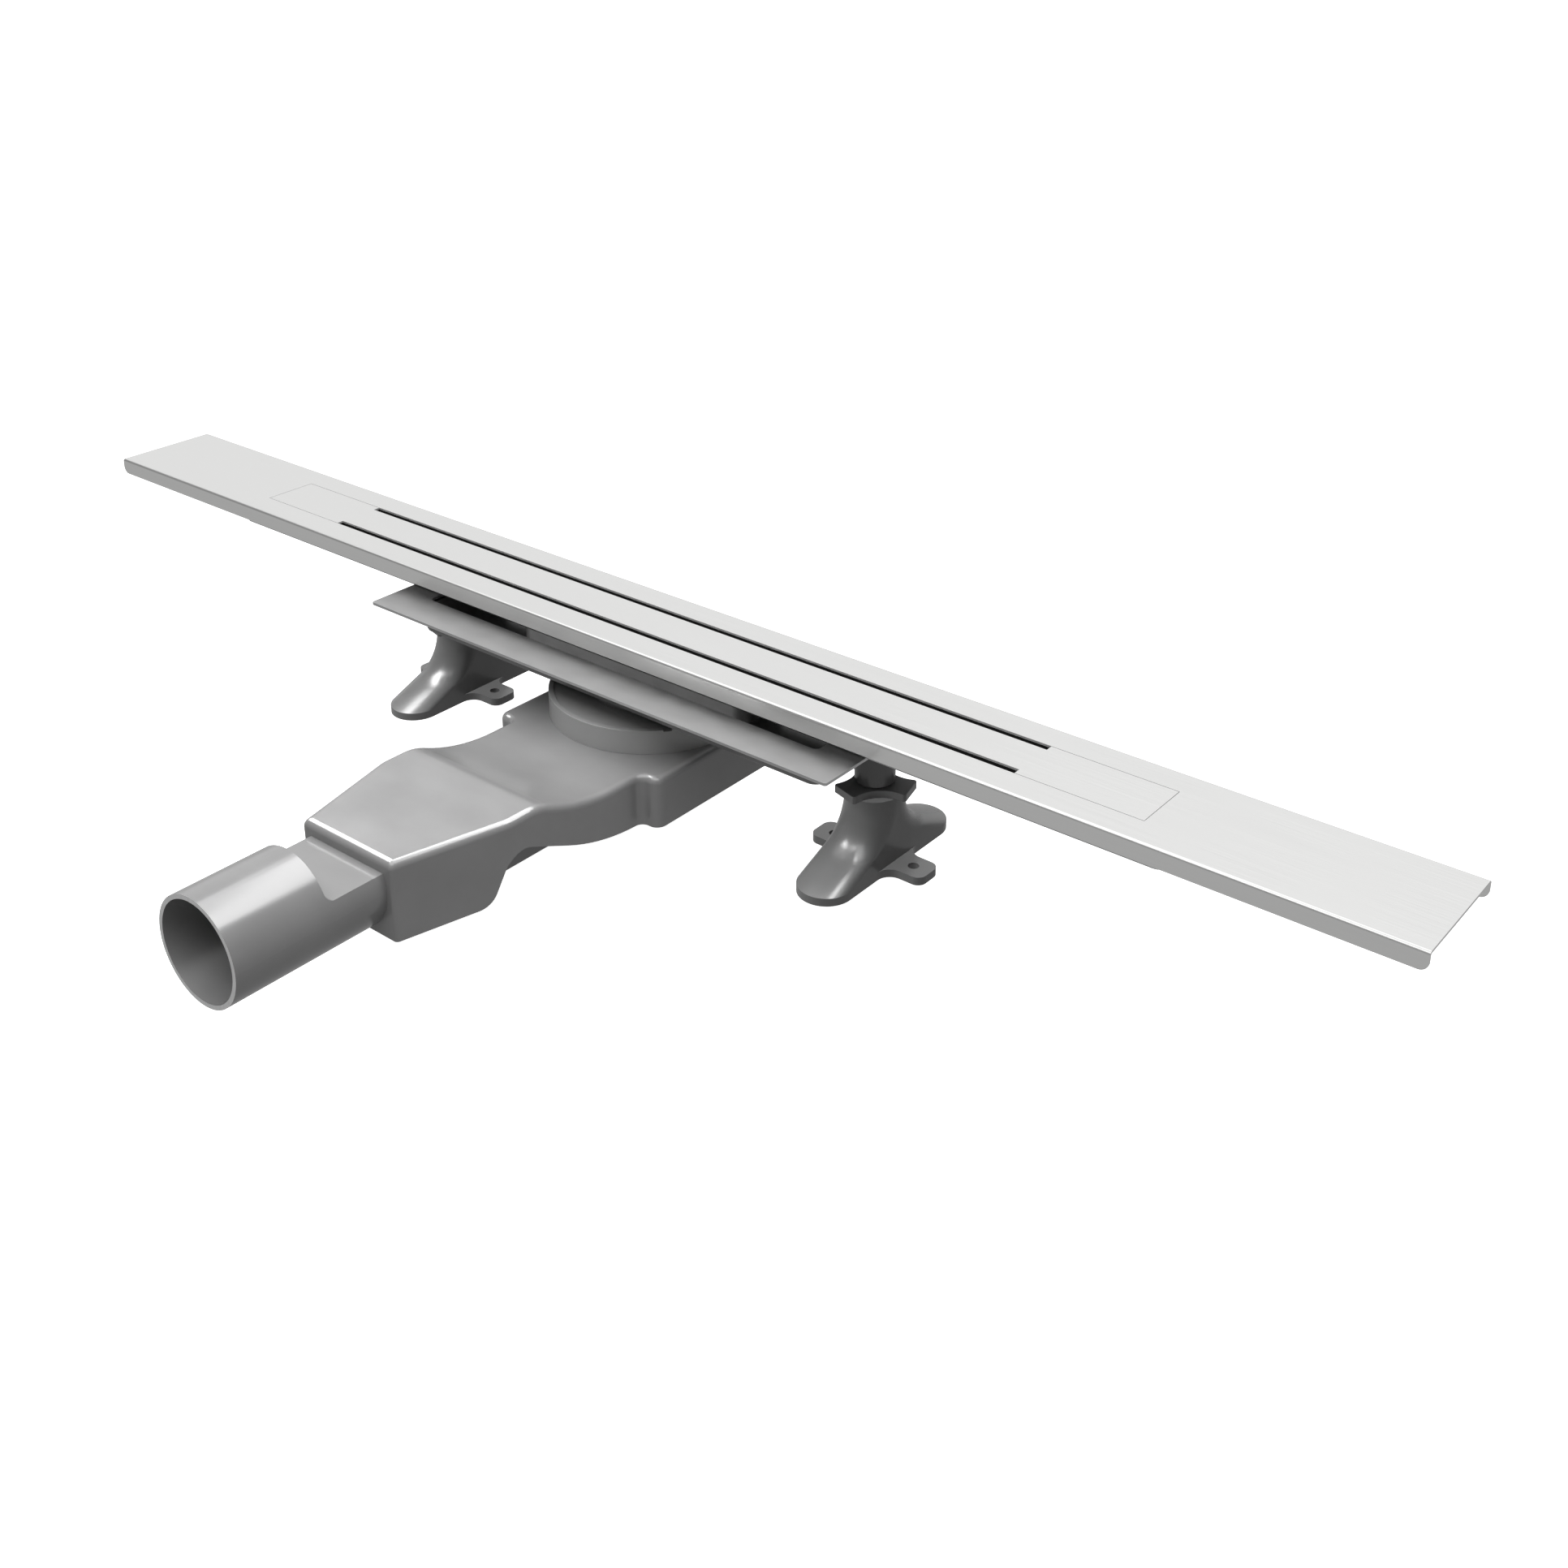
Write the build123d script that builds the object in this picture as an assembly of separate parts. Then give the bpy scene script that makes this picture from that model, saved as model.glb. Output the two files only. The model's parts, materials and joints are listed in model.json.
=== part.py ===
from build123d import *
import math
import os

# All sizes in millimetres. The parts are modelled in the drain's own frame: Z = 0 is the rail's top
# (finished floor), X runs along the rail, the outlet points to -Y and the trap's axis is X = 0, Y = 0.

# Stainless rail: a folded channel with a long opening for the cover
RAIL_LENGTH = 800.0
RAIL_WIDTH = 60.0
RAIL_SHEET = 1.2
RAIL_DEPTH = 8.6
RAIL_FOLD = 1.5
RAIL_END_CORNER = 4.0
RAIL_LIP = 5.0

# Cover that lies flush in the rail, with a slot along each long edge
COVER_LENGTH = 557.0
COVER_WIDTH = 28.8
COVER_SHEET = 1.2
COVER_SEAM = 0.3
SLOT_LENGTH = 437.0
SLOT_WIDTH = 3.65
COVER_LIP = 4.8
COVER_LEG_LENGTH = 44.0
COVER_LEG_X = 250.0

# Pressed trough welded under the rail, and the spout welded into its floor over the pan
TROUGH_LENGTH = 587.0
TROUGH_WIDTH = 46.0
TROUGH_SHEET = 1.0
TROUGH_CORNER = 6.0
TROUGH_FOLD = 1.5
TROUGH_RIM = 4.8
SPOUT_LENGTH = 149.0
SPOUT_WIDTH = 32.8
SPOUT_CORNER = 8.0
SPOUT_DROP = 11.5

# Hair sieve that hangs in the spout
SIEVE_GAP = 0.6
SIEVE_SHEET = 1.0
SIEVE_RIM = 3.2
SIEVE_DEPTH = 9.0
SIEVE_SLOTS_EACH_SIDE = 7
SIEVE_SLOT_PITCH = 9.0
SIEVE_SLOT_WIDTH = 3.0
SIEVE_SLOT_LENGTH = 20.0
SIEVE_GRIP_LENGTH = 22.0
SIEVE_GRIP_HEIGHT = 5.5

# Sealing flange and the moulded pan below it
FLANGE_BORDER = 21.0
FLANGE_SHEET = 1.5
FLANGE_TOP = -14.6
FLANGE_CORNER = 1.5
PAN_LENGTH = 254.0
PAN_WIDTH = 59.0
PAN_WALL = 3.2
PAN_DEPTH = 14.9
PAN_FLOOR = 2.8
PAN_STEP_IN = 4.5
PAN_STEP_UP = 1.8
PAN_CORNER = 3.0
PAN_SPIGOT_R = 29.5
PAN_SPIGOT_WALL = 2.5
PAN_GASKET = 1.0

# Dip tube that forms the water seal
DIP_R = 24.0
DIP_WALL = 1.8
DIP_FLANGE_R = 29.0
DIP_FLANGE = 1.6
DIP_END = -66.0
DIP_SEAL_TOP = -35.0
DIP_SEAL_HEIGHT = 3.0

# Round collar between the pan and the trap
COLLAR_R = 50.0
COLLAR_TOP = -33.8
COLLAR_RIM = 2.6
COLLAR_RIM_HEIGHT = 0.8
COLLAR_WALL = 3.0
COLLAR_BORE_R = 33.0
COLLAR_LEDGE_R = 26.0
COLLAR_LEDGE = 2.2
COLLAR_NOTCH = 4.0
COLLAR_NOTCH_ANGLE = -38.0
SEAL_TOP = -36.0
SEAL_HEIGHT = 6.0

# Trap body: half widths from above, and heights along Y
TRAP_WALL = 3.0
TRAP_FRONT_Y = -188.5
TRAP_FRONT_HALF = 28.8
TRAP_FRONT_CORNER = 2.0
TRAP_FLARE_Y = -134.0
TRAP_SIDE_HALF = 42.6
TRAP_FLARE_R = 20.0
TRAP_BLOCK_HALF = 53.0
TRAP_BLOCK_FRONT_Y = -53.4
TRAP_BLOCK_BACK_Y = 53.0
TRAP_BACK_CORNER = 26.0
TRAP_POST_R = 5.0
TRAP_POST_HOLLOW_R = 4.0
TRAP_TOP_HIGH = -34.0
TRAP_TOP_LOW = -46.2
TRAP_CREASE_Y = -116.2
TRAP_CREASE_R = 26.0
TRAP_TOE_Y = -89.5
TRAP_TOE_R = 100.0
TRAP_BOTTOM = -72.0
TRAP_EDGE_R = 3.4
TRAP_INLET_R = 30.0
# underside between the outlet box and the collar block: an arch with a steep front, for the weir inside
ARCH_FRONT_Y = -144.8
ARCH_FRONT_R = 9.6
ARCH_CROWN_Y = -132.8
ARCH_CROWN_Z = -47.2
ARCH_CROWN_R = 11.3
ARCH_BACK_Y = -77.7
ARCH_BACK_R = 118.0
WEB_HALF = 23.5
BASE_R = 40.0

# Outlet spigot for a 50 mm waste pipe, flattened where it joins the outlet box
OUTLET_R = 25.0
OUTLET_WALL = 2.1
OUTLET_Z = -48.9
OUTLET_MOUTH_Y = -263.3
OUTLET_FLAT_Z = -40.4
OUTLET_FLAT_Y = -217.0
OUTLET_FLAT_R = 4.0

# Height adjustment: a boss against each end of the pan, with a stud in it, a hand nut and a foot below
GROUND = -79.0
BOSS_OUT = 7.0
BOSS_R = 9.3
BOSS_END = -37.7
STUD_R = 6.0
STUD_TOP = -19.0
STUD_END = -68.0
STUD_CHAMFER = 1.0
THREAD_GAP = 0.06
NUT_GAP = 1.0
NUT_HEIGHT = 3.8
NUT_LOBE_R = 18.9
NUT_LOBE_HALF_ANGLE = 20.5
NUT_LOBES = 3
NUT_WAIST_R = 10.2
NUT_GRIP_R = 15.0
NUT_FIRST_LOBE = -105.5
NUT_CORNER = 0.8
NUT_SEAT_GAP = 0.2
FOOT_HALF = 48.7
FOOT_HALF_WIDTH = 13.3
FOOT_BASE = 4.0
FOOT_NECK_HALF = 14.0
FOOT_RISE_ANGLE = 22.0
FOOT_ANKLE_R = 25.0
FOOT_WALL = 2.2
FOOT_ROOF = 3.0
FOOT_BORE_GAP = 0.3
LUG_HALF = 31.5
LUG_WIDTH = 15.4
LUG_CORNER = 4.5
LUG_FILLET = 7.0
LUG_HOLE_X = 22.4
LUG_HOLE_R = 2.6

# Levels and places that follow from the sizes above
trough_floor = FLANGE_TOP + TROUGH_SHEET
flange_bottom = FLANGE_TOP - FLANGE_SHEET
pan_top = flange_bottom - PAN_GASKET
pan_step = flange_bottom - PAN_DEPTH
pan_bottom = pan_step - PAN_STEP_UP
pan_floor = pan_bottom + PAN_FLOOR
collar_ledge = TRAP_TOP_LOW + COLLAR_LEDGE
nut_top = BOSS_END - NUT_GAP
nut_bottom = nut_top - NUT_HEIGHT
neck_top = nut_bottom - NUT_SEAT_GAP
foot_x = PAN_LENGTH / 2 + PAN_WALL + BOSS_OUT


def block(x0, x1, y0, y1, z0, z1):
    """Box between two corners."""
    return Pos((x0 + x1) / 2, (y0 + y1) / 2, (z0 + z1) / 2) * Box(x1 - x0, y1 - y0, z1 - z0)


def slab(length, width, corner, bottom, top):
    """Plate with rounded upright corners, centred on the trap's axis."""
    return Pos(0, 0, bottom) * extrude(RectangleRounded(length, width, corner), top - bottom)


def disc(radius, bottom, top, x=0.0):
    """Upright cylinder on the trap's axis or on a foot's axis."""
    return Pos(x, 0, bottom) * extrude(Circle(radius), top - bottom)


def make_rail():
    section = Pos(0, -RAIL_DEPTH / 2) * Rectangle(RAIL_WIDTH, RAIL_DEPTH)
    section = fillet(section.vertices().group_by(Axis.Y)[-1], RAIL_FOLD)
    depth = RAIL_DEPTH - RAIL_SHEET
    hollow = Pos(0, -RAIL_SHEET - depth / 2) * Rectangle(RAIL_WIDTH - 2 * RAIL_SHEET, depth)
    hollow = fillet(hollow.vertices().group_by(Axis.Y)[-1], RAIL_FOLD - RAIL_SHEET)
    rail = extrude(Plane.YZ * (section - hollow), RAIL_LENGTH / 2, both=True)
    rail = fillet(rail.edges().filter_by(Axis.Y).group_by(Axis.Z)[0], RAIL_END_CORNER)
    half_length = COVER_LENGTH / 2 + COVER_SEAM
    half_width = COVER_WIDTH / 2 + COVER_SEAM
    lip_width = half_width + RAIL_SHEET
    rail += block(-half_length, half_length, -lip_width, lip_width, -RAIL_LIP, 0)
    return rail - block(-half_length, half_length, -half_width, half_width, -RAIL_DEPTH, RAIL_SHEET)


def make_trough():
    top = -RAIL_SHEET
    wall = 2 * TROUGH_SHEET
    rim = 2 * TROUGH_RIM
    tray = slab(TROUGH_LENGTH, TROUGH_WIDTH, TROUGH_CORNER, FLANGE_TOP, top)
    tray = fillet(tray.faces().sort_by(Axis.Z)[0].edges(), TROUGH_FOLD)
    tray += slab(TROUGH_LENGTH + rim, TROUGH_WIDTH + rim, TROUGH_CORNER + TROUGH_RIM, top - TROUGH_SHEET, top)
    tray -= slab(TROUGH_LENGTH - wall, TROUGH_WIDTH - wall, TROUGH_CORNER - TROUGH_SHEET, trough_floor, top)
    return tray - slab(SPOUT_LENGTH, SPOUT_WIDTH, SPOUT_CORNER, FLANGE_TOP, trough_floor)


def make_spout():
    wall = 2 * TROUGH_SHEET
    bottom = FLANGE_TOP - SPOUT_DROP
    spout = slab(SPOUT_LENGTH, SPOUT_WIDTH, SPOUT_CORNER, bottom, trough_floor)
    bore_corner = SPOUT_CORNER - TROUGH_SHEET
    return spout - slab(SPOUT_LENGTH - wall, SPOUT_WIDTH - wall, bore_corner, bottom, trough_floor)


def make_cover():
    half = COVER_WIDTH / 2
    notch = half - SLOT_WIDTH
    lip_depth = COVER_SHEET + COVER_LIP
    cover = block(-COVER_LENGTH / 2, COVER_LENGTH / 2, -half, half, -COVER_SHEET, 0)
    for side in (-1, 1):
        cover -= Pos(0, side * (notch + half) / 2, 0) * Box(SLOT_LENGTH, SLOT_WIDTH, 4 * COVER_SHEET)
        lip = Box(SLOT_LENGTH, COVER_SHEET, lip_depth)
        cover += Pos(0, side * (notch - COVER_SHEET / 2), -lip_depth / 2) * lip
        for end in (-1, 1):
            leg = Box(COVER_LEG_LENGTH, COVER_SHEET, -trough_floor)
            cover += Pos(end * COVER_LEG_X, side * (half - COVER_SHEET / 2), trough_floor / 2) * leg
    return cover


def make_sieve():
    wall = 2 * SIEVE_SHEET
    rim = 2 * SIEVE_RIM
    length = SPOUT_LENGTH - 2 * (TROUGH_SHEET + SIEVE_GAP)
    width = SPOUT_WIDTH - 2 * (TROUGH_SHEET + SIEVE_GAP)
    corner = SPOUT_CORNER - TROUGH_SHEET - SIEVE_GAP
    bottom = trough_floor - SIEVE_DEPTH
    floor = bottom + SIEVE_SHEET
    top = trough_floor + SIEVE_SHEET
    sieve = slab(length, width, corner, bottom, top)
    sieve += slab(length + rim, width + rim, corner + SIEVE_RIM, trough_floor, top)
    sieve -= slab(length - wall, width - wall, corner - SIEVE_SHEET, floor, top)
    for index in range(1, SIEVE_SLOTS_EACH_SIDE + 1):
        for side in (-1, 1):
            slot = Box(SIEVE_SLOT_WIDTH, SIEVE_SLOT_LENGTH, 4 * SIEVE_SHEET)
            sieve -= Pos(side * index * SIEVE_SLOT_PITCH, 0, bottom) * slot
    grip = Box(SIEVE_SHEET, SIEVE_GRIP_LENGTH, SIEVE_GRIP_HEIGHT)
    return sieve + Pos(0, 0, floor + SIEVE_GRIP_HEIGHT / 2) * grip


def make_flange():
    border = 2 * FLANGE_BORDER
    plate = slab(PAN_LENGTH + border, PAN_WIDTH + border, FLANGE_CORNER, flange_bottom, FLANGE_TOP)
    return plate - slab(PAN_LENGTH, PAN_WIDTH, PAN_CORNER, flange_bottom, FLANGE_TOP)


def make_pan_gasket():
    length = PAN_LENGTH + 2 * PAN_WALL
    width = PAN_WIDTH + 2 * PAN_WALL
    frame = slab(length, width, PAN_CORNER + PAN_WALL, pan_top, flange_bottom)
    return frame - slab(PAN_LENGTH, PAN_WIDTH, PAN_CORNER, pan_top, flange_bottom)


def make_pan():
    length = PAN_LENGTH + 2 * PAN_WALL
    width = PAN_WIDTH + 2 * PAN_WALL
    step = 2 * PAN_STEP_IN
    pan = slab(length, width, PAN_CORNER + PAN_WALL, pan_step, pan_top)
    pan += slab(length - step, width - step, PAN_CORNER, pan_bottom, pan_step)
    pan += disc(PAN_SPIGOT_R, collar_ledge, pan_floor)
    pan -= slab(PAN_LENGTH, PAN_WIDTH, PAN_CORNER, pan_floor, pan_top)
    return pan - disc(PAN_SPIGOT_R - PAN_SPIGOT_WALL, collar_ledge, pan_floor)


def make_dip_tube():
    tube = disc(DIP_R, DIP_END, pan_floor) + disc(DIP_FLANGE_R, pan_floor, pan_floor + DIP_FLANGE)
    return tube - disc(DIP_R - DIP_WALL, DIP_END, pan_floor + DIP_FLANGE)


def make_dip_seal():
    bottom = DIP_SEAL_TOP - DIP_SEAL_HEIGHT
    return disc(PAN_SPIGOT_R - PAN_SPIGOT_WALL, bottom, DIP_SEAL_TOP) - disc(DIP_R, bottom, DIP_SEAL_TOP)


def make_collar():
    face = COLLAR_TOP - COLLAR_RIM_HEIGHT
    collar = disc(COLLAR_R, TRAP_TOP_LOW, COLLAR_TOP) - disc(COLLAR_R - COLLAR_RIM, face, COLLAR_TOP)
    collar -= disc(COLLAR_BORE_R, collar_ledge, face) + disc(COLLAR_LEDGE_R, TRAP_TOP_LOW, collar_ledge)
    pocket_top = face - COLLAR_WALL
    pocket = disc(COLLAR_R - COLLAR_WALL, TRAP_TOP_LOW, pocket_top)
    collar -= pocket - disc(COLLAR_BORE_R + COLLAR_WALL, TRAP_TOP_LOW, pocket_top)
    notch = Pos(COLLAR_R, 0, COLLAR_TOP) * Box(4 * COLLAR_RIM, COLLAR_NOTCH, 2 * COLLAR_RIM_HEIGHT)
    return collar - Rot(0, 0, COLLAR_NOTCH_ANGLE) * notch


def make_collar_seal():
    bottom = SEAL_TOP - SEAL_HEIGHT
    return disc(COLLAR_BORE_R, bottom, SEAL_TOP) - disc(PAN_SPIGOT_R, bottom, SEAL_TOP)


def rounded(corners, inset):
    """Closed outline from anticlockwise (x, y, radius) corners, with each side moved in by a wall."""
    points = [Vector(x, y) for x, y, radius in corners]
    moved = []
    radii = []
    for before, here, after, corner in zip([points[-1], *points], points, [*points[1:], points[0]], corners):
        arrive = (here - before).normalized()
        leave = (after - here).normalized()
        across = Vector(-arrive.Y - leave.Y, arrive.X + leave.X)
        moved.append(here + across * (inset / (1 + arrive.dot(leave))))
        turn = math.copysign(1, arrive.cross(leave).Z)
        radii.append(corner[2] - turn * inset)
    outline = make_face(Polyline(*moved, close=True))
    for point, radius in zip(moved, radii):
        if radius > 0:
            outline = fillet(outline.vertices().sort_by_distance(point)[:1], radius)
    return outline


def trap_outline(inset):
    """Outline of the trap seen from above."""
    half = [
        (TRAP_FRONT_HALF, TRAP_FRONT_Y, TRAP_FRONT_CORNER),
        (TRAP_SIDE_HALF, TRAP_FLARE_Y, TRAP_FLARE_R),
        (TRAP_SIDE_HALF, TRAP_BLOCK_FRONT_Y, TRAP_POST_HOLLOW_R),
        (TRAP_BLOCK_HALF, TRAP_BLOCK_FRONT_Y, TRAP_POST_R),
        (TRAP_BLOCK_HALF, TRAP_BLOCK_BACK_Y, TRAP_BACK_CORNER),
    ]
    mirrored = [(-x, y, radius) for x, y, radius in reversed(half)]
    return rounded([*half, *mirrored], inset)


def trap_profile(inset):
    """Section of the trap along its length, drawn as (Y, Z)."""
    corners = [
        (TRAP_FRONT_Y, TRAP_BOTTOM, 0),
        (ARCH_FRONT_Y, TRAP_BOTTOM, ARCH_FRONT_R),
        (ARCH_CROWN_Y, ARCH_CROWN_Z, ARCH_CROWN_R),
        (ARCH_BACK_Y, TRAP_BOTTOM, ARCH_BACK_R),
        (TRAP_BLOCK_BACK_Y, TRAP_BOTTOM, 0),
        (TRAP_BLOCK_BACK_Y, TRAP_TOP_LOW, 0),
        (TRAP_TOE_Y, TRAP_TOP_LOW, TRAP_TOE_R),
        (TRAP_CREASE_Y, TRAP_TOP_HIGH, TRAP_CREASE_R),
        (TRAP_FRONT_Y, TRAP_TOP_HIGH, 0),
    ]
    return rounded(corners, inset)


def trap_solid(outline, profile):
    """Part of the upright outline that lies inside the long section."""
    upright = Pos(0, 0, TRAP_BOTTOM) * extrude(outline, TRAP_TOP_HIGH - TRAP_BOTTOM)
    return upright & extrude(Plane.YZ * profile, TRAP_BLOCK_HALF, both=True)


def pipe_solid(radius, inset, end_y):
    """Pipe on the outlet's axis from its mouth, flattened along the top towards the trap."""
    length = end_y - OUTLET_MOUTH_Y
    pipe = Pos(0, end_y, OUTLET_Z) * (Rot(90, 0, 0) * extrude(Circle(radius), length))
    flat = block(-2 * radius, 2 * radius, OUTLET_FLAT_Y - inset, 0, OUTLET_FLAT_Z - inset, 0)
    edge = flat.edges().filter_by(Axis.X).sort_by(Axis.Z)[:2].sort_by(Axis.Y)[0]
    return pipe - fillet(edge, OUTLET_FLAT_R + inset)


def make_trap():
    profile = trap_profile(0.0)
    trap = trap_solid(trap_outline(0.0), profile)
    top_faces = [f for f in trap.faces() if f.normal_at().Z > 0.5]
    top_edges = [e for f in top_faces for e in f.edges()]
    rim = [e for e in top_edges if sum(e.is_same(other) for other in top_edges) == 1]
    trap = fillet(rim, TRAP_EDGE_R)
    trap -= trap_solid(trap_outline(TRAP_WALL), trap_profile(TRAP_WALL))
    inside = WEB_HALF - TRAP_WALL
    webs = block(-WEB_HALF, WEB_HALF, TRAP_FRONT_Y, 0, TRAP_BOTTOM, TRAP_TOP_LOW)
    webs -= block(-inside, inside, TRAP_FRONT_Y, 0, TRAP_BOTTOM, TRAP_TOP_LOW)
    trap += webs - extrude(Plane.YZ * profile, TRAP_BLOCK_HALF, both=True)
    trap -= disc(TRAP_INLET_R, TRAP_TOP_LOW - 2 * TRAP_WALL, TRAP_TOP_LOW)
    trap -= disc(BASE_R, TRAP_BOTTOM, TRAP_BOTTOM + TRAP_WALL)
    way_out = pipe_solid(OUTLET_R - OUTLET_WALL, OUTLET_WALL, TRAP_FRONT_Y + 2 * TRAP_WALL)
    sill = TRAP_BOTTOM + TRAP_WALL
    return trap - (way_out - block(-OUTLET_R, OUTLET_R, 2 * OUTLET_MOUTH_Y, 0, 2 * sill, sill))


def make_outlet():
    bore = pipe_solid(OUTLET_R - OUTLET_WALL, OUTLET_WALL, TRAP_FRONT_Y)
    return pipe_solid(OUTLET_R, 0.0, TRAP_FRONT_Y) - bore


def make_boss(x):
    length = PAN_LENGTH + 2 * PAN_WALL
    width = PAN_WIDTH + 2 * PAN_WALL
    boss = disc(BOSS_R, BOSS_END, flange_bottom, x)
    boss -= slab(length, width, PAN_CORNER + PAN_WALL, pan_step, flange_bottom)
    return boss - disc(STUD_R, BOSS_END, STUD_TOP, x)


def make_stud(x):
    stud = disc(STUD_R, STUD_END, STUD_TOP, x)
    return chamfer(stud.edges().group_by(Axis.Z)[0], STUD_CHAMFER)


def make_nut(x):
    corners = []
    grips = []
    step = 360.0 / NUT_LOBES
    for index in range(NUT_LOBES):
        lobe = NUT_FIRST_LOBE + index * step
        corners.append(Vector(NUT_LOBE_R, 0).rotate(Axis.Z, lobe - NUT_LOBE_HALF_ANGLE))
        corners.append(Vector(NUT_LOBE_R, 0).rotate(Axis.Z, lobe + NUT_LOBE_HALF_ANGLE))
        grips.append(Rot(0, 0, lobe + step / 2) * (Pos(NUT_WAIST_R + NUT_GRIP_R, 0) * Circle(NUT_GRIP_R)))
    plan = make_face(Polyline(*corners, close=True)) - grips
    plan = fillet(plan.vertices(), NUT_CORNER) - Circle(STUD_R + THREAD_GAP)
    return Pos(x, 0, nut_bottom) * extrude(plan, NUT_HEIGHT)


def foot_rise(inset, top):
    """Path up the back of a foot, from the middle of its round toe to the middle of its round neck."""
    toe = FOOT_HALF - FOOT_HALF_WIDTH
    neck = FOOT_NECK_HALF - FOOT_HALF_WIDTH
    base = GROUND + FOOT_BASE - inset
    ankle = base + (toe - neck) * math.tan(math.radians(FOOT_RISE_ANGLE))
    return Plane.YZ * FilletPolyline((toe, base), (neck, ankle), (neck, top), radius=FOOT_ANKLE_R)


def foot_middle(path, half_width):
    """Straight middle of a foot between its paths at the back and at the front."""
    front = mirror(path, Plane.XZ)
    cap = Line(path @ 1, front @ 1)
    sole = Line(path @ 0, front @ 0)
    return extrude(make_face([*path.edges(), cap, *front.edges(), sole]), half_width, both=True)


def make_foot(x):
    plan = Rot(0, 0, 90) * SlotOverall(2 * FOOT_HALF, 2 * FOOT_HALF_WIDTH)
    plan += RectangleRounded(2 * LUG_HALF, LUG_WIDTH, LUG_CORNER)
    roots = [(abs(v.X) - FOOT_HALF_WIDTH, abs(v.Y) - LUG_WIDTH / 2, v) for v in plan.vertices()]
    plan = fillet([v for across, along, v in roots if abs(across) + abs(along) < 0.01], LUG_FILLET)
    for side in (-1, 1):
        plan -= Pos(side * LUG_HOLE_X, 0) * Circle(LUG_HOLE_R)
    foot = Pos(0, 0, GROUND) * extrude(plan, FOOT_BASE)
    path = foot_rise(0.0, neck_top)
    back = sweep(Pos(*(path @ 0)) * Circle(FOOT_HALF_WIDTH), path=path, normal=(0, 0, 1))
    foot += back + mirror(back, Plane.XZ) + foot_middle(path, FOOT_HALF_WIDTH)
    inside = FOOT_HALF_WIDTH - FOOT_WALL
    pocket = Rot(0, 0, 90) * SlotOverall(2 * (FOOT_HALF - FOOT_WALL), 2 * inside)
    foot -= Pos(0, 0, GROUND) * extrude(pocket, FOOT_BASE - FOOT_WALL)
    foot -= foot_middle(foot_rise(FOOT_WALL, neck_top - FOOT_ROOF), inside)
    foot -= disc(STUD_R + FOOT_BORE_GAP, GROUND, neck_top)
    return Pos(x, 0, 0) * foot


def export(name, solid):
    """Write one node, moved so that Z = 0 is the ground and the footprint is centred on the origin."""
    middle = (OUTLET_MOUTH_Y + TRAP_BLOCK_BACK_Y) / 2
    export_step(Pos(0, -middle, -GROUND) * solid, f"parts/{name}.step")


os.makedirs("parts", exist_ok=True)
export("rail", make_rail())
export("trough", make_trough())
export("spout", make_spout())
export("cover", make_cover())
export("hair_sieve", make_sieve())
export("sealing_flange", make_flange())
export("pan_gasket", make_pan_gasket())
export("pan", make_pan())
export("dip_tube", make_dip_tube())
export("dip_tube_seal", make_dip_seal())
export("collar", make_collar())
export("collar_seal", make_collar_seal())
export("trap_body", make_trap())
export("trap_base", disc(BASE_R, TRAP_BOTTOM, TRAP_BOTTOM + TRAP_WALL))
export("outlet_spigot", make_outlet())
for hand, x in (("left", -foot_x), ("right", foot_x)):
    export(f"boss_{hand}", make_boss(x))
    export(f"stud_{hand}", make_stud(x))
    export(f"nut_{hand}", make_nut(x))
    export(f"foot_{hand}", make_foot(x))
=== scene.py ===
import json
import math

import bmesh
import bpy
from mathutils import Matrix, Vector


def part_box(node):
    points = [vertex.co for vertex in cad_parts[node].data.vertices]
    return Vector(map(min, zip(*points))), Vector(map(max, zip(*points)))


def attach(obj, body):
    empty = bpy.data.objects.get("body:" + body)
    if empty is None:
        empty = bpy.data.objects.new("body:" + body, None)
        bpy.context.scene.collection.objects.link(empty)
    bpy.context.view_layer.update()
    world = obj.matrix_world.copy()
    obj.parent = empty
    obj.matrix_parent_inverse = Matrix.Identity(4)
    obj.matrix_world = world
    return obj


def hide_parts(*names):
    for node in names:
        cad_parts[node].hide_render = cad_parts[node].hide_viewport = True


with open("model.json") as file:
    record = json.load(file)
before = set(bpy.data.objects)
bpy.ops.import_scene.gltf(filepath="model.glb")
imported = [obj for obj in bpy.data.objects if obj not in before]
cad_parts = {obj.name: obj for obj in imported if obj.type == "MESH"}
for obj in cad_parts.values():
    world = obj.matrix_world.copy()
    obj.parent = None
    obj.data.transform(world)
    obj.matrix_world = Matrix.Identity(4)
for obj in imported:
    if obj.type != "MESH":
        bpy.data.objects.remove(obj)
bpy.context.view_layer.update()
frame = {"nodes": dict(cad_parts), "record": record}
nodes = frame["nodes"]
MM = 0.001

# Camera of the photograph, worked out from the rail's edges for a frame of 1932 x 1932 pixels
FRAME_PX = 1932
FOCAL_PX = 2323.1
AXIS_ROW_PX = 625
CAMERA_PLACE = (0.5744, -0.49955, 0.4660)
CAMERA_PITCH = 21.528
CAMERA_AZIMUTH = 39.012
SENSOR_MM = 36.0

# Places and sizes of the CAD part that the dressing follows, in metres
RAIL_Y = 105.15 * MM
OPENING_HALF_X = 285 * MM
OPENING_HALF_Y = 16 * MM
STUD_X = 137.2 * MM
STUD_TOP_Z = 60 * MM
STUD_END_Z = 11 * MM
# Height of the lower side of the cover's sheet, above which a slot's wall is a bright cut edge, and below
# which it is painted dark as painted shade
CUT_EDGE_Z = 78 * MM
CUT_EDGE_BLEND = 0.1 * MM
# A face is upright where its normal's Z is smaller than this
UPRIGHT_Z = 0.2
# A face within this distance of the pipe's ends is a sawn ring, coloured lighter as a painted highlight
PIPE_END_REACH = 0.1 * MM

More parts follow.
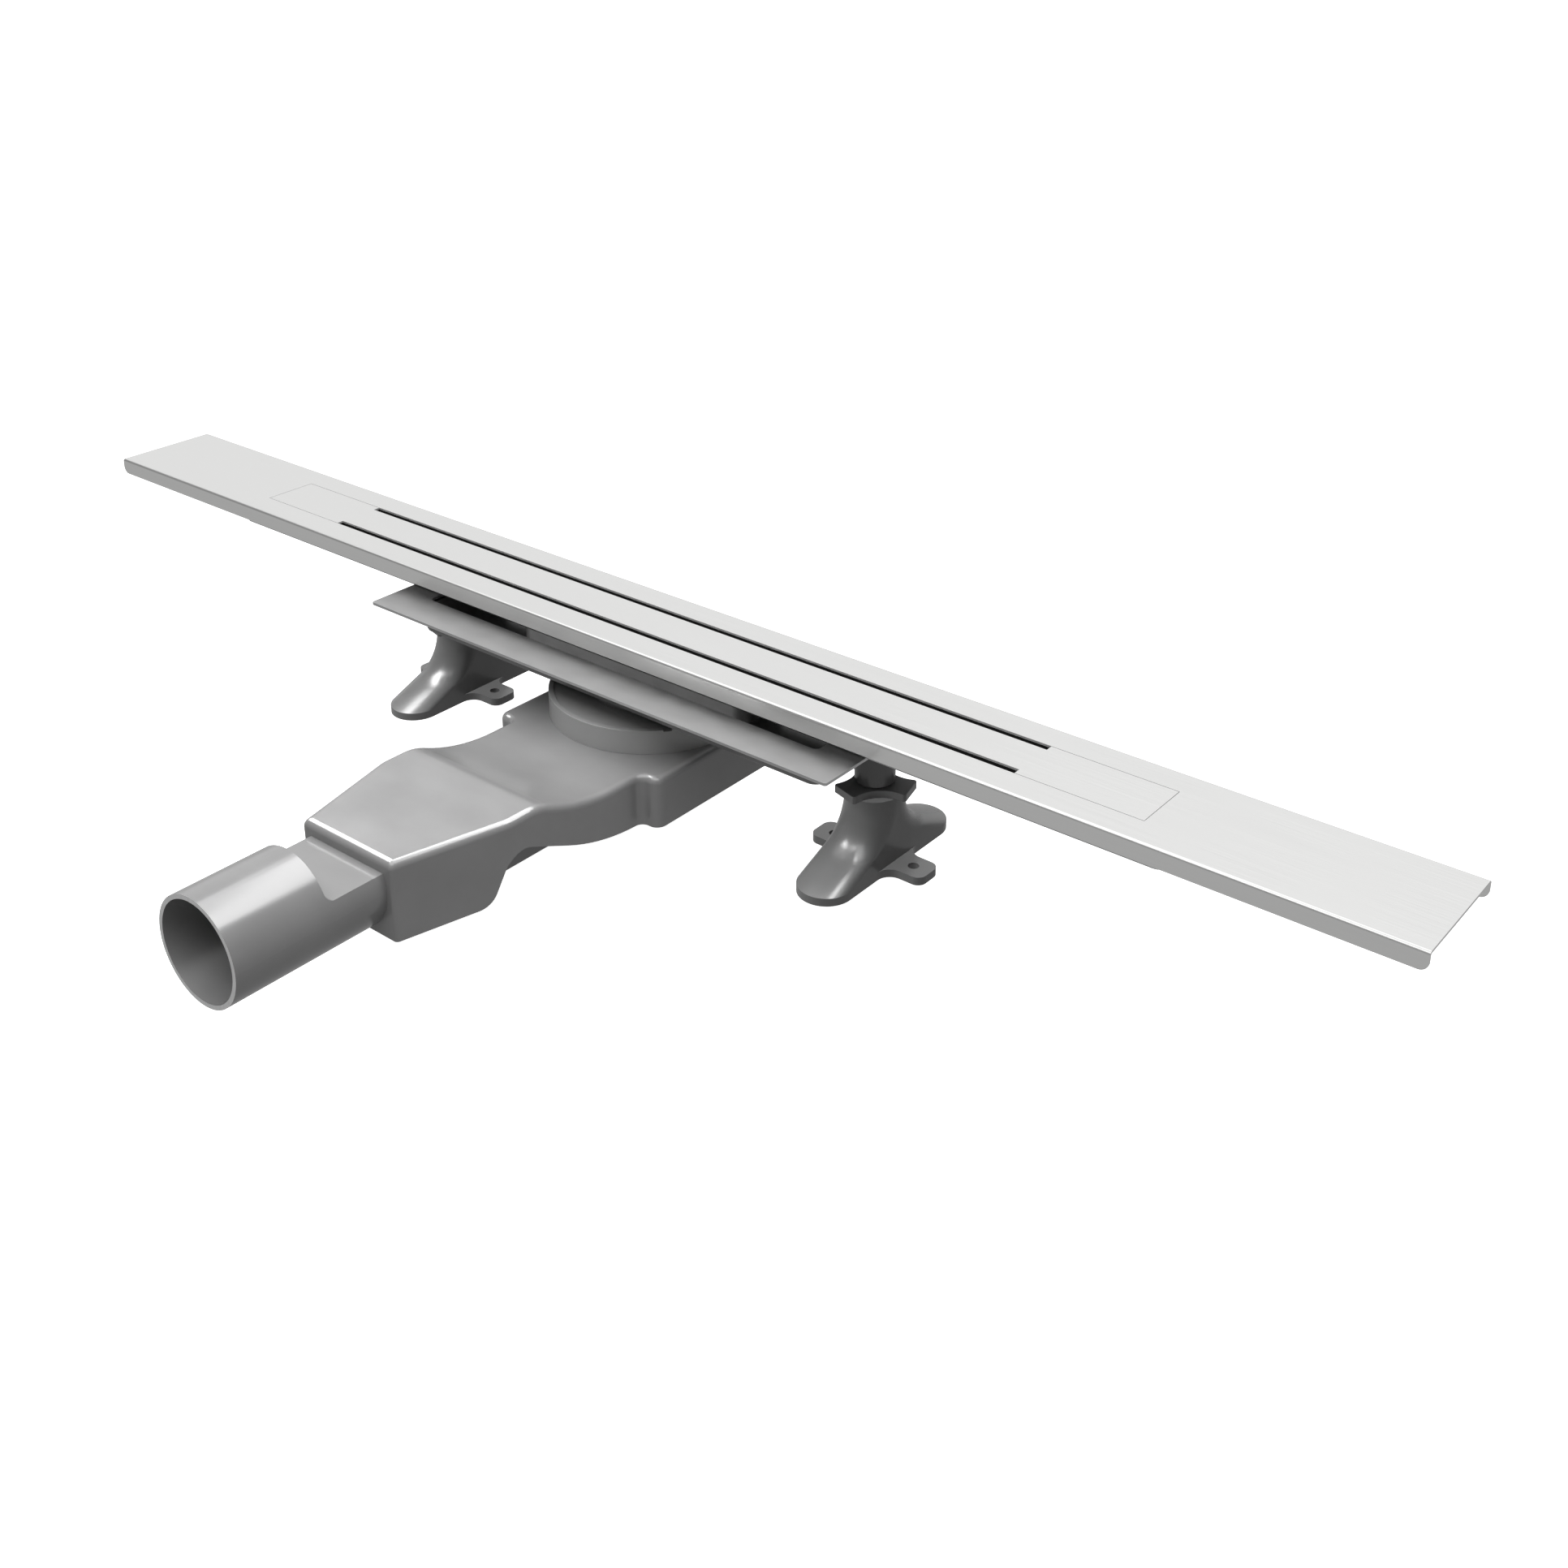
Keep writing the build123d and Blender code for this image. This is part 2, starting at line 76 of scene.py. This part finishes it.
# Thread of the studs, in metres, and one turn of its flank as (share of the pitch, radius)
THREAD_PITCH = 3 * MM
THREAD_CREST_R = 5.98 * MM
THREAD_ROOT_R = 4.7 * MM
THREAD_RUN_OUT = 1 * MM
THREAD_STEPS = 40
THREAD_FLANK = [(0.0, THREAD_ROOT_R), (0.36, THREAD_ROOT_R), (0.5, THREAD_CREST_R), (0.86, THREAD_CREST_R)]

# Ring that closes the collar's face round the pan's spigot, in metres
FACE_RING_TOP = 44.43 * MM
FACE_RING_THICK = 1.2 * MM
FACE_RING_IN = 29.6 * MM
FACE_RING_OUT = 33.8 * MM
FACE_RING_STEPS = 96

# Width in millimetres of the rounding on each node's sharp edges
EDGE_ROUNDING = {
    "rail": 0.15, "cover": 0.12, "sealing_flange": 0.15, "collar": 0.4, "pan": 0.4,
    "nut_left": 0.3, "nut_right": 0.3,
}
ROUNDING_SEGMENTS = 3
SHARP_ANGLE = math.radians(40)
FLAT_ANGLE = math.radians(0.5)
WELD_REACH = 0.001 * MM

# Paper sweep as (radius, height) in metres: a little under the feet's lowest place, and turned up all round
SWEEP = [(5.0, -0.021), (7.0, 0.3), (8.5, 1.5), (9.0, 4.0), (9.0, 12.0)]
SWEEP_STEPS = 48

# Studio lights: place and width x height in metres, power in watts
OVERHEAD = ((0.0, -0.1, 1.3), (1.7, 1.7), 34)
BACK_PANEL = ((0.05, 0.68, 1.15), (1.6, 0.6), 37)
LEFT_PANEL = ((-0.9, 0.1, 1.05), (1.0, 0.55), 33)
PIPE_PANEL = ((0.17, 0.68, 1.15), (1.3, 0.6), 17)
LEFT_FOOT_STRIP = ((-0.52, -0.25, 1.1), (1.2, 0.3), 16)
RIGHT_FOOT_STRIP = ((0.2, -0.06, 1.1), (1.3, 0.3), 18)
SPOUT_FILL = ((-0.5, -0.7, 0.1), (0.3, 0.3), 1.2)
NUT_FILL = ((-0.5, -0.7, 0.1), (0.3, 0.3), 5)
FOOT_FILL = ((-0.6, -0.4, 1.1), (0.6, 0.6), 28)
# Brightness of the dome round the drain: a dim front, a bright wall behind that the rail mirrors,
# a light ceiling with a dimmer crown straight above, and the ground
DOME_FRONT = 0.25
DOME_WALL = 0.87
DOME_CEILING = 1.6
DOME_CROWN = 0.9
DOME_GROUND = 0.42
FLOOR_GLOW = 0.92
# Where each part of the dome blends into the next: share of the way back, and heights from 0 to 1
WALL_BLEND = (0.35, 0.75)
CEILING_BLEND = (0.6, 0.75)
CROWN_BLEND = (0.85, 0.95)
GROUND_BLEND = (0.0, 0.15)

# The middle part of a noise's values, over which a pattern goes from its low to its high end
NOISE_LOW = 0.3
NOISE_HIGH = 0.7


def linear(colour):
    """Linear colour for a shader socket from an sRGB hex value."""
    channels = [int(colour[i:i + 2], 16) / 255 for i in (1, 3, 5)]
    return [c / 12.92 if c <= 0.04045 else ((c + 0.055) / 1.055) ** 2.4 for c in channels] + [1.0]


def add(tree, kind, values=None, links=None, **settings):
    """One node with its settings, its constant sockets and the links into it."""
    node = tree.nodes.new(kind)
    for name, value in settings.items():
        setattr(node, name, value)
    for name, value in (values or {}).items():
        node.inputs[name].default_value = value
    for name, source in (links or {}).items():
        tree.links.new(source, node.inputs[name])
    return node


def new_material(name, **values):
    """A material with one Principled shader whose even values are set on its own sockets."""
    material = bpy.data.materials.new(name)
    material.use_nodes = True
    tree = material.node_tree
    shader = tree.nodes["Principled BSDF"]
    for socket, value in values.items():
        shader.inputs[socket.replace("_", " ")].default_value = value
    return material, tree, shader


def stretched_noise(tree, length, width, detail=3.0):
    """Noise in streaks of a real length along X and width across it, in millimetres."""
    place = add(tree, "ShaderNodeTexCoord")
    scale = (1 / (length * MM), 1 / (width * MM), 1 / (width * MM))
    mapped = add(tree, "ShaderNodeMapping", {"Scale": scale}, {"Vector": place.outputs["Object"]})
    values = {"Scale": 1.0, "Detail": detail}
    return add(tree, "ShaderNodeTexNoise", values, {"Vector": mapped.outputs["Vector"]})


def spread(tree, source, low, high, start=NOISE_LOW, end=NOISE_HIGH):
    """Map a pattern to a range of values."""
    links = {"Value": source}
    values = {"From Min": start, "From Max": end, "To Min": low, "To Max": high}
    return add(tree, "ShaderNodeMapRange", values, links).outputs["Result"]


def shades(tree, source, dark, light):
    """Map a pattern to the colours between two hex values."""
    ramp = add(tree, "ShaderNodeValToRGB", links={"Fac": source})
    ramp.color_ramp.elements[0].position = NOISE_LOW
    ramp.color_ramp.elements[0].color = linear(dark)
    ramp.color_ramp.elements[1].position = NOISE_HIGH
    ramp.color_ramp.elements[1].color = linear(light)
    return ramp.outputs["Color"]


def bump(tree, shader, height, depth, strength):
    """Raise the surface by a pattern of a real depth in millimetres."""
    values = {"Strength": strength, "Distance": depth * MM}
    node = add(tree, "ShaderNodeBump", values, {"Height": height})
    tree.links.new(node.outputs["Normal"], shader.inputs["Normal"])


def brushed_stainless():
    """Stainless sheet, belt-ground along its length: bright, with fine streaks that blur reflections."""
    material, tree, shader = new_material("stainless_sheet_brushed", Metallic=1.0, Anisotropic=0.7)
    # real grinding lines are about 0.1 mm wide: drawn 0.7 mm wide so that they show in the render
    streaks = stretched_noise(tree, 60.0, 0.7).outputs["Fac"]
    tree.links.new(shades(tree, streaks, "#EDEDEC", "#F0F0EF"), shader.inputs["Base Color"])
    tree.links.new(spread(tree, streaks, 0.23, 0.27), shader.inputs["Roughness"])
    across = add(tree, "ShaderNodeTangent", direction_type="RADIAL", axis="X")
    tree.links.new(across.outputs["Tangent"], shader.inputs["Tangent"])
    bump(tree, shader, streaks, 0.01, 0.05)
    return material


def pressed_stainless():
    """Cold-rolled stainless sheet, deep drawn: satin grey with a faint cloudy sheen."""
    material, tree, shader = new_material("stainless_sheet_pressed", Metallic=1.0)
    clouds = stretched_noise(tree, 14.0, 9.0).outputs["Fac"]
    tree.links.new(shades(tree, clouds, "#C2C2C2", "#CACACA"), shader.inputs["Base Color"])
    tree.links.new(spread(tree, clouds, 0.50, 0.58), shader.inputs["Roughness"])
    return material


def moulded_plastic(name, dark, light, low, high, grain_depth):
    """Injection-moulded plastic: an even colour, faint flow clouds and the mould's fine sparked grain."""
    material, tree, shader = new_material(name, IOR=1.49)
    flow = stretched_noise(tree, 30.0, 22.0).outputs["Fac"]
    # the grain of a sparked mould is about 0.1 mm: drawn at 0.5 mm so that it shows in the render
    grain = stretched_noise(tree, 0.5, 0.5, detail=2.0).outputs["Fac"]
    tree.links.new(shades(tree, flow, dark, light), shader.inputs["Base Color"])
    tree.links.new(spread(tree, flow, low, high), shader.inputs["Roughness"])
    bump(tree, shader, grain, grain_depth, 0.15)
    return material


def sealing_rubber():
    """Moulded sealing rubber: nearly black and dull."""
    material, tree, shader = new_material("rubber_moulded", IOR=1.52)
    bloom = stretched_noise(tree, 4.0, 4.0).outputs["Fac"]
    tree.links.new(shades(tree, bloom, "#161616", "#202020"), shader.inputs["Base Color"])
    tree.links.new(spread(tree, bloom, 0.55, 0.7), shader.inputs["Roughness"])
    return material


def zinc_plated_steel():
    """Rolled steel thread with a bright zinc plating: cool grey and lively."""
    material, tree, shader = new_material("steel_zinc_plated", Metallic=1.0)
    spangle = stretched_noise(tree, 2.0, 2.0).outputs["Fac"]
    tree.links.new(shades(tree, spangle, "#9C9EA2", "#B4B6BA"), shader.inputs["Base Color"])
    tree.links.new(spread(tree, spangle, 0.25, 0.4), shader.inputs["Roughness"])
    return material


def cut_stainless():
    """Laser-cut stainless edge with a matt oxide skin; the lip below it is painted dark as painted shade, so
    that the slots read.
    """
    material, tree, shader = new_material("stainless_edge_laser_cut_over_painted_shade", IOR=1.5)
    place = add(tree, "ShaderNodeTexCoord").outputs["Object"]
    height = add(tree, "ShaderNodeSeparateXYZ", links={"Vector": place}).outputs["Z"]
    # painted shade: the slot's wall below the sheet's edge is coloured dark, the cut edge above it light
    edge = spread(tree, height, 0.0, 1.0, CUT_EDGE_Z - CUT_EDGE_BLEND, CUT_EDGE_Z + CUT_EDGE_BLEND)
    tree.links.new(shades(tree, edge, "#1E1E1E", "#DADADA"), shader.inputs["Base Color"])
    # real cut striations are about 0.15 mm apart: drawn at 0.6 mm so that they show in the render
    striations = stretched_noise(tree, 0.6, 5.0).outputs["Fac"]
    tree.links.new(spread(tree, striations, 0.85, 0.95), shader.inputs["Roughness"])
    return material


def pipe_end_highlight_plastic():
    """Sawn end of a plastic pipe: matt, and coloured much lighter than the pipe as a painted highlight of the
    rim, so that the mouth's rim stands out.
    """
    material, tree, shader = new_material("polypropylene_end_painted_highlight", IOR=1.49)
    # real saw marks are about 0.2 mm apart: drawn at 0.8 mm so that they show in the render
    marks = stretched_noise(tree, 0.8, 6.0).outputs["Fac"]
    # painted highlight: the light ring stands in for the light a rounded rim catches
    tree.links.new(shades(tree, marks, "#B4B4B4", "#C0C0C0"), shader.inputs["Base Color"])
    tree.links.new(spread(tree, marks, 0.6, 0.75), shader.inputs["Roughness"])
    return material


def studio_floor():
    """Seamless matt paper sweep, lit through from below: white and even."""
    material, tree, shader = new_material(
        "paper_sweep_matt", Roughness=0.9, Emission_Color=linear("#FFFFFF"), Emission_Strength=FLOOR_GLOW)
    fibre = stretched_noise(tree, 40.0, 40.0).outputs["Fac"]
    tree.links.new(shades(tree, fibre, "#F4F4F4", "#F7F7F7"), shader.inputs["Base Color"])
    return material


def cut_edges_with_painted_shade(name):
    """Give the upright faces in and round the rail's opening the finish of a cut edge, painted dark below the
    sheet as painted shade.
    """
    mesh = nodes[name].data
    mesh.materials.append(finishes["cut_edge_over_painted_shade"])
    for face in mesh.polygons:
        inside = abs(face.center.x) < OPENING_HALF_X and abs(face.center.y - RAIL_Y) < OPENING_HALF_Y
        if inside and abs(face.normal.z) < UPRIGHT_Z:
            face.material_index = 1


def paint_pipe_end_highlight():
    """Give the rings at the pipe's mouth and at the trap the finish of a sawn end, lighter as a painted
    highlight.
    """
    mesh = nodes["outlet_spigot"].data
    mesh.materials.append(finishes["pipe_end_painted_highlight"])
    low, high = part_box("outlet_spigot")
    for face in mesh.polygons:
        if min(face.center.y - low[1], high[1] - face.center.y) < PIPE_END_REACH:
            face.material_index = 1


def new_piece(name, mesh, materials):
    """Object in the scene made from a finished mesh."""
    data = bpy.data.meshes.new(name)
    mesh.to_mesh(data)
    mesh.free()
    for material in materials:
        data.materials.append(material)
    piece = bpy.data.objects.new(name, data)
    bpy.context.collection.objects.link(piece)
    return piece


def turned(mesh, profile, steps, y):
    """Rows of points that carry a profile of (radius, height) round an upright axis."""
    rows = []
    for step in range(steps):
        angle = 2 * math.pi * step / steps
        rows.append([mesh.verts.new((r * math.cos(angle), y + r * math.sin(angle), z)) for r, z in profile])
    return rows


def round_edges(name, width):
    """Show a copy of a node with rounded edges between faces of one finish, its faces shaded as they were."""
    source = nodes[name].data
    mesh = bmesh.new()
    mesh.from_mesh(source)
    exact = mesh.loops.layers.float_vector.new("exact_normal")
    corners = [corner for face in mesh.faces for corner in face.loops]
    for corner, normal in zip(corners, source.corner_normals):
        corner[exact] = normal.vector
    bmesh.ops.remove_doubles(mesh, verts=mesh.verts, dist=WELD_REACH)
    bmesh.ops.dissolve_limit(
        mesh, angle_limit=FLAT_ANGLE, verts=mesh.verts, edges=mesh.edges, delimit={"MATERIAL"})
    sharp = [e for e in mesh.edges if e.is_convex and e.calc_face_angle() > SHARP_ANGLE]
    sharp = [e for e in sharp if len({face.material_index for face in e.link_faces}) == 1]
    made = bmesh.ops.bevel(
        mesh, geom=sharp, offset=width * MM, segments=ROUNDING_SEGMENTS, profile=0.5, affect="EDGES",
        clamp_overlap=True)
    rounding = set(made["faces"])
    kept = {c.vert: c[exact].copy() for face in mesh.faces if face not in rounding for c in face.loops}
    normals = []
    for face in mesh.faces:
        face.smooth = True
        for corner in face.loops:
            if face in rounding:
                normals.append(kept.get(corner.vert, corner.vert.normal.copy()))
            else:
                normals.append(corner[exact].copy())
    piece = new_piece(name + "_rounded", mesh, source.materials)
    piece.data.normals_split_custom_set(normals)
    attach(piece, next(body for body, members in bodies.items() if name in members))
    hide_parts(name)
    shown[name] = piece


def collar_face_ring():
    """Inner part of the collar's flat face, up to the pan's spigot, open over the seal in the CAD."""
    bottom = FACE_RING_TOP - FACE_RING_THICK
    section = [
        (FACE_RING_IN, FACE_RING_TOP), (FACE_RING_OUT, FACE_RING_TOP),
        (FACE_RING_OUT, bottom), (FACE_RING_IN, bottom),
    ]
    mesh = bmesh.new()
    rows = turned(mesh, section, FACE_RING_STEPS, RAIL_Y)
    for step in range(FACE_RING_STEPS):
        here, onward = rows[step - 1], rows[step]
        for k in range(len(section)):
            mesh.faces.new((here[k - 1], here[k], onward[k], onward[k - 1]))
    bmesh.ops.recalc_face_normals(mesh, faces=mesh.faces)
    ring = new_piece("collar_face_ring", mesh, [finishes["polypropylene_dark"]])
    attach(ring, "drain")
    shown["collar_face_ring"] = ring


def threaded_stud(hand, x):
    """Stud with a rolled trapezoidal thread in place of the plain CAD cylinder."""
    turns = (STUD_TOP_Z - STUD_END_Z) / THREAD_PITCH
    steps = int(turns * THREAD_STEPS)
    mesh = bmesh.new()
    rows = []
    for step in range(steps + 1):
        angle = 2 * math.pi * step / THREAD_STEPS
        row = []
        for share, radius in THREAD_FLANK:
            z = STUD_END_Z + THREAD_PITCH * (step / THREAD_STEPS + share - 1)
            # the ends run out to the root, inside the stud's length
            radius = radius if STUD_END_Z + THREAD_RUN_OUT < z < STUD_TOP_Z else THREAD_ROOT_R
            z = min(max(z, STUD_END_Z), STUD_TOP_Z)
            row.append(mesh.verts.new((x + radius * math.cos(angle), RAIL_Y + radius * math.sin(angle), z)))
        rows.append(row)
    for step in range(steps):
        here, onward = rows[step], rows[step + 1]
        for k in range(len(THREAD_FLANK) - 1):
            mesh.faces.new((here[k], onward[k], onward[k + 1], here[k + 1]))
        # the last flank of a turn meets the root of the turn above
        if step + THREAD_STEPS < steps:
            above, above_onward = rows[step + THREAD_STEPS], rows[step + THREAD_STEPS + 1]
            mesh.faces.new((here[-1], onward[-1], above_onward[0], above[0]))
    stud = new_piece("thread_" + hand, mesh, [finishes["zinc_steel"]])
    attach(stud, "drain")
    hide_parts("stud_" + hand)


def set_camera():
    """Camera of the photograph, shifted because the optical axis lies above the middle of the frame."""
    data = bpy.data.cameras.new("photo_camera")
    data.sensor_width = SENSOR_MM
    data.lens = SENSOR_MM * FOCAL_PX / FRAME_PX
    data.shift_y = (AXIS_ROW_PX - FRAME_PX / 2) / FRAME_PX
    camera = bpy.data.objects.new("photo_camera", data)
    camera.location = CAMERA_PLACE
    camera.rotation_euler = (math.radians(90 - CAMERA_PITCH), 0, math.radians(CAMERA_AZIMUTH))
    bpy.context.collection.objects.link(camera)
    bpy.context.scene.camera = camera


def set_floor():
    """Round paper sweep that is seen but throws no light back, as if it lay far from the drain."""
    mesh = bmesh.new()
    rows = turned(mesh, SWEEP, SWEEP_STEPS, 0.0)
    for step in range(SWEEP_STEPS):
        here, onward = rows[step - 1], rows[step]
        for k in range(len(here) - 1):
            mesh.faces.new((here[k], onward[k], onward[k + 1], here[k + 1]))
    mesh.faces.new([row[0] for row in rows])
    floor = new_piece("floor", mesh, [studio_floor()])
    floor.visible_diffuse = False
    floor.visible_glossy = False


def softbox(name, light, lit):
    """Soft rectangular light aimed at the drain, flagged off all but the lit nodes."""
    place, size, watts = light
    data = bpy.data.lights.new(name, "AREA")
    data.shape = "RECTANGLE"
    data.size, data.size_y = size
    data.energy = watts
    lamp = bpy.data.objects.new(name, data)
    lamp.location = place
    lamp.rotation_euler = Vector(place).to_track_quat("Z", "Y").to_euler()
    bpy.context.collection.objects.link(lamp)
    receivers = bpy.data.collections.new(name + "_lit")
    for node in lit:
        receivers.objects.link(shown[node])
    lamp.light_linking.receiver_collection = receivers
    return lamp


def set_light():
    """Softboxes for the mouldings, and a dome whose bright wall the rail and its cover mirror."""
    world = bpy.data.worlds.new("studio")
    world.use_nodes = True
    tree = world.node_tree
    azimuth = math.radians(CAMERA_AZIMUTH)
    behind = (-math.sin(azimuth), math.cos(azimuth), 0)
    place = add(tree, "ShaderNodeTexCoord").outputs["Generated"]
    towards = add(tree, "ShaderNodeVectorMath", {1: behind}, {0: place}, operation="DOT_PRODUCT")
    height = add(tree, "ShaderNodeSeparateXYZ", links={"Vector": place}).outputs["Z"]
    wall = spread(tree, towards.outputs["Value"], DOME_FRONT, DOME_WALL, *WALL_BLEND)
    rising = spread(tree, height, 0, DOME_CEILING, *CEILING_BLEND)
    crown = spread(tree, height, DOME_CEILING, DOME_CROWN, *CROWN_BLEND)
    ceiling = add(tree, "ShaderNodeMath", links={0: rising, 1: crown}, operation="MINIMUM").outputs["Value"]
    values = {"From Min": GROUND_BLEND[0], "From Max": GROUND_BLEND[1], "To Min": DOME_GROUND}
    dome = add(tree, "ShaderNodeMapRange", values, {"Value": height, "To Max": wall}).outputs["Result"]
    glow = add(tree, "ShaderNodeMath", links={0: dome, 1: ceiling}, operation="MAXIMUM")
    tree.links.new(glow.outputs["Value"], tree.nodes["Background"].inputs["Strength"])
    tree.nodes["Background"].inputs["Color"].default_value = linear("#FFFFFF")
    bpy.context.scene.world = world
    feet = ["foot_left", "foot_right"]
    nuts = ["nut_left", "nut_right"]
    mouldings = ["trap_body", "trap_base", "outlet_spigot", "collar", "collar_face_ring", "pan"]
    softbox("overhead_softbox", OVERHEAD, mouldings + nuts + feet)
    highlights = [
        softbox("back_panel", BACK_PANEL, ["trap_body"]),
        softbox("left_panel", LEFT_PANEL, ["trap_body"]),
        softbox("pipe_panel", PIPE_PANEL, ["outlet_spigot"]),
        softbox("left_foot_strip", LEFT_FOOT_STRIP, ["foot_left"]),
        softbox("right_foot_strip", RIGHT_FOOT_STRIP, ["foot_right"]),
    ]
    for lamp in highlights:
        lamp.visible_diffuse = False
        lamp.data.use_shadow = False
    softbox("foot_fill", FOOT_FILL, feet).data.use_shadow = False
    softbox("spout_fill", SPOUT_FILL, ["spout"]).data.use_shadow = False
    softbox("nut_fill", NUT_FILL, nuts).data.use_shadow = False
    bpy.context.scene.view_settings.view_transform = "Standard"


finishes = {
    "stainless_brushed": brushed_stainless(),
    "stainless_pressed": pressed_stainless(),
    "polypropylene_grey": moulded_plastic("polypropylene_moulded_grey", "#747474", "#797979", 0.16, 0.2, 0.02),
    "polypropylene_dark": moulded_plastic("polypropylene_moulded_dark", "#8C8C8C", "#919191", 0.34, 0.4, 0.02),
    "rubber_black": sealing_rubber(),
    "polyamide_dark": moulded_plastic("polyamide_moulded_dark", "#505050", "#555555", 0.2, 0.26, 0.012),
    "zinc_steel": zinc_plated_steel(),
    "cut_edge_over_painted_shade": cut_stainless(),
    "pipe_end_painted_highlight": pipe_end_highlight_plastic(),
}
bodies = frame["record"]["behaviour"]["bodies"]
slots = {part["node"]: part["material_slot"] for part in frame["record"]["subparts"]}
shown = dict(nodes)
for node, slot in slots.items():
    nodes[node].data.materials.clear()
    nodes[node].data.materials.append(finishes[slot])

cut_edges_with_painted_shade("rail")
cut_edges_with_painted_shade("cover")
paint_pipe_end_highlight()
for node, width in EDGE_ROUNDING.items():
    round_edges(node, width)
collar_face_ring()
threaded_stud("left", -STUD_X)
threaded_stud("right", STUD_X)
set_camera()
set_floor()
set_light()
